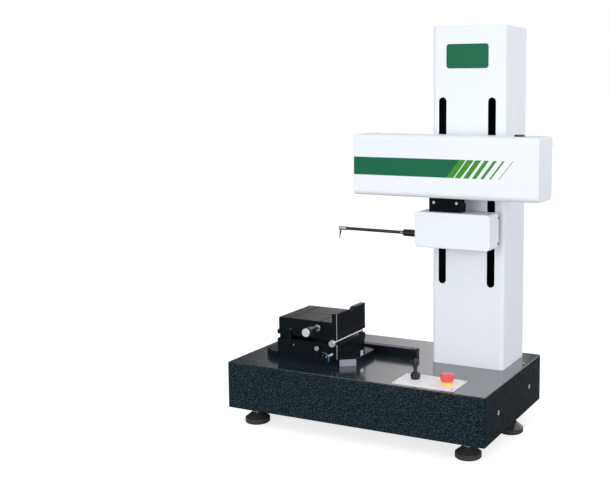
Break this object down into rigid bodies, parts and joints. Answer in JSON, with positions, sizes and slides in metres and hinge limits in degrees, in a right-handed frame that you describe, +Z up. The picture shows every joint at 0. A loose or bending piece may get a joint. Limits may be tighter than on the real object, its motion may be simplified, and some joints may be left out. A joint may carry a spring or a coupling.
{
  "type": "surface profile measuring machine",
  "caption": "Granite-base surface profile measuring machine with a column, a lifting drive unit, a stylus detector arm, a control panel and an adjusting table.",
  "frame": {"origin": "centre of the granite base top face", "axes": "+X to the right along the long side of the base, -Y towards the operator, +Z up"},
  "size_m": [0.902, 0.46, 1.145],
  "materials": {
    "granite": "polished",
    "foot_plastic": "gloss",
    "zinc_steel": "satin",
    "bright_steel": "polished",
    "insert_steel": "bright",
    "black_anodised": "satin anodised",
    "black_oxide": "satin",
    "white_enamel": "satin",
    "badge_green": "satin",
    "cast_grey": "machined",
    "ground_steel": "ground",
    "motor_black": "satin",
    "guide_stone": "lapped",
    "chassis_alu": "machined",
    "panel_white": "satin",
    "red_plastic": "gloss",
    "yellow_plastic": "gloss",
    "black_plastic": "moulded",
    "black_rubber": "matte",
    "carbon_tube": "satin",
    "table_black": "bright anodised",
    "clamp_alu": "satin"
  },
  "bodies": {
    "base": {"granite_base": "granite", "foot_pads": "foot_plastic", "foot_studs": "zinc_steel", "top_inserts": "insert_steel", "side_inserts": "insert_steel", "guide_bar": "black_anodised", "guide_bar_screws": "black_oxide", "column_cover": "white_enamel", "column_rear_panel": "white_enamel", "column_badge": "badge_green", "column_post": "cast_grey", "lift_rails": "ground_steel", "lift_motor": "motor_black", "control_panel": "panel_white", "panel_screws": "zinc_steel", "estop_collar": "yellow_plastic", "joystick_bezel": "black_plastic", "table_base_plate": "table_black", "table_clamp_screw": "bright_steel"},
    "lift_screw": {"lift_screw": "ground_steel"},
    "drive_unit": {"lift_carriage": "motor_black", "lift_blocks": "ground_steel", "lift_nut": "ground_steel", "drive_housing": "white_enamel", "drive_end_plates": "white_enamel", "drive_top_lid": "white_enamel", "cable_gland": "black_plastic", "drive_chassis": "chassis_alu", "traverse_guide": "guide_stone", "traverse_motor": "motor_black"},
    "traverse_screw": {"traverse_screw": "ground_steel"},
    "detector": {"traverse_slider": "chassis_alu", "detector_bracket": "black_anodised", "bracket_screws": "bright_steel", "detector_cover": "white_enamel", "detector_frame": "chassis_alu", "detector_screws": "black_oxide"},
    "stylus_arm": {"stylus_beam": "chassis_alu", "arm_collar": "black_anodised", "arm_ferrule": "bright_steel", "arm_tube": "carbon_tube", "stylus_clamp": "clamp_alu", "stylus": "black_oxide"},
    "joystick_ring": {"joystick_gimbal": "ground_steel"},
    "joystick": {"joystick_lever": "black_plastic", "joystick_boot": "black_rubber"},
    "stop_plunger": {"estop_plunger": "black_plastic"},
    "stop_head": {"estop_head": "red_plastic"},
    "swivel": {"swivel_plate": "table_black", "tilt_base": "table_black", "hinge_rod": "bright_steel"},
    "swivel_knob": {"swivel_knob": "black_plastic", "swivel_shaft": "bright_steel"},
    "rod_knob": {"rod_knob": "bright_steel"},
    "lock_knob": {"lock_knob": "bright_steel"},
    "tilt": {"tilt_plate": "table_black"},
    "table_top": {"table_top": "table_black", "table_fence": "table_black", "micrometer_sleeve": "bright_steel"},
    "thimble": {"micrometer_thimble": "bright_steel"}
  },
  "joints": [
    {"name": "lift", "type": "slide", "parent": "base", "child": "drive_unit", "axis": [0, 0, 1], "range_m": [-0.205, 0.12]},
    {"name": "lift_screw_spin", "type": "hinge", "parent": "base", "child": "lift_screw", "pos_m": [0.2436, 0.07, 0], "axis": [0, 0, 1], "continuous": true},
    {"name": "traverse", "type": "slide", "parent": "drive_unit", "child": "detector", "axis": [1, 0, 0], "range_m": [-0.1, 0.1]},
    {"name": "traverse_screw_spin", "type": "hinge", "parent": "drive_unit", "child": "traverse_screw", "pos_m": [0, -0.045, 0.626], "axis": [1, 0, 0], "continuous": true},
    {"name": "stylus_pivot", "type": "hinge", "parent": "detector", "child": "stylus_arm", "pos_m": [0.245, -0.052, 0.3854], "axis": [0, -1, 0], "range_deg": [-4, 4]},
    {"name": "joystick_side", "type": "hinge", "parent": "base", "child": "joystick_ring", "pos_m": [0.169, -0.157, -0.002], "axis": [1, 0, 0], "range_deg": [-15, 15], "stiffness_Nm_per_rad": 0.4},
    {"name": "joystick_fore", "type": "hinge", "parent": "joystick_ring", "child": "joystick", "pos_m": [0.169, -0.157, -0.002], "axis": [0, 1, 0], "range_deg": [-15, 15], "stiffness_Nm_per_rad": 0.4},
    {"name": "stop_push", "type": "slide", "parent": "base", "child": "stop_plunger", "axis": [0, 0, -1], "range_m": [0, 0.004], "stiffness_N_per_m": 2500},
    {"name": "stop_twist", "type": "hinge", "parent": "stop_plunger", "child": "stop_head", "pos_m": [0.266, -0.164, 0.017], "axis": [0, 0, -1], "range_deg": [0, 45], "stiffness_Nm_per_rad": 0.1},
    {"name": "table_swivel", "type": "hinge", "parent": "base", "child": "swivel", "pos_m": [-0.18675, -0.05165, 0], "axis": [0, 0, 1], "range_deg": [-1.5, 1.5]},
    {"name": "swivel_knob_turn", "type": "hinge", "parent": "swivel", "child": "swivel_knob", "pos_m": [-0.1022, -0.139, 0.034], "axis": [0, 1, 0], "continuous": true},
    {"name": "rod_knob_turn", "type": "hinge", "parent": "swivel", "child": "rod_knob", "pos_m": [-0.089, -0.139, 0.0717], "axis": [0, 1, 0], "range_deg": [0, 180]},
    {"name": "lock_knob_turn", "type": "hinge", "parent": "swivel", "child": "lock_knob", "pos_m": [-0.1435, -0.139, 0.0502], "axis": [0, 1, 0], "range_deg": [0, 180]},
    {"name": "table_tilt", "type": "hinge", "parent": "swivel", "child": "tilt", "pos_m": [-0.089, -0.05165, 0.0717], "axis": [0, 1, 0], "range_deg": [0, 3]},
    {"name": "table_slide", "type": "slide", "parent": "tilt", "child": "table_top", "axis": [0, 1, 0], "range_m": [-0.0125, 0.0125]},
    {"name": "thimble_spin", "type": "hinge", "parent": "tilt", "child": "thimble", "pos_m": [-0.1482, -0.139, 0.1073], "axis": [0, 1, 0], "continuous": true}
  ],
  "couplings": [
    {"joint": "lift_screw_spin", "follows": "lift", "rad_per_m": -628.32},
    {"joint": "traverse_screw_spin", "follows": "traverse", "rad_per_m": -1256.6},
    {"joint": "thimble_spin", "follows": "table_slide", "rad_per_m": -12566},
    {"joint": "swivel_knob_turn", "follows": "table_swivel", "ratio": 1256.6}
  ]
}
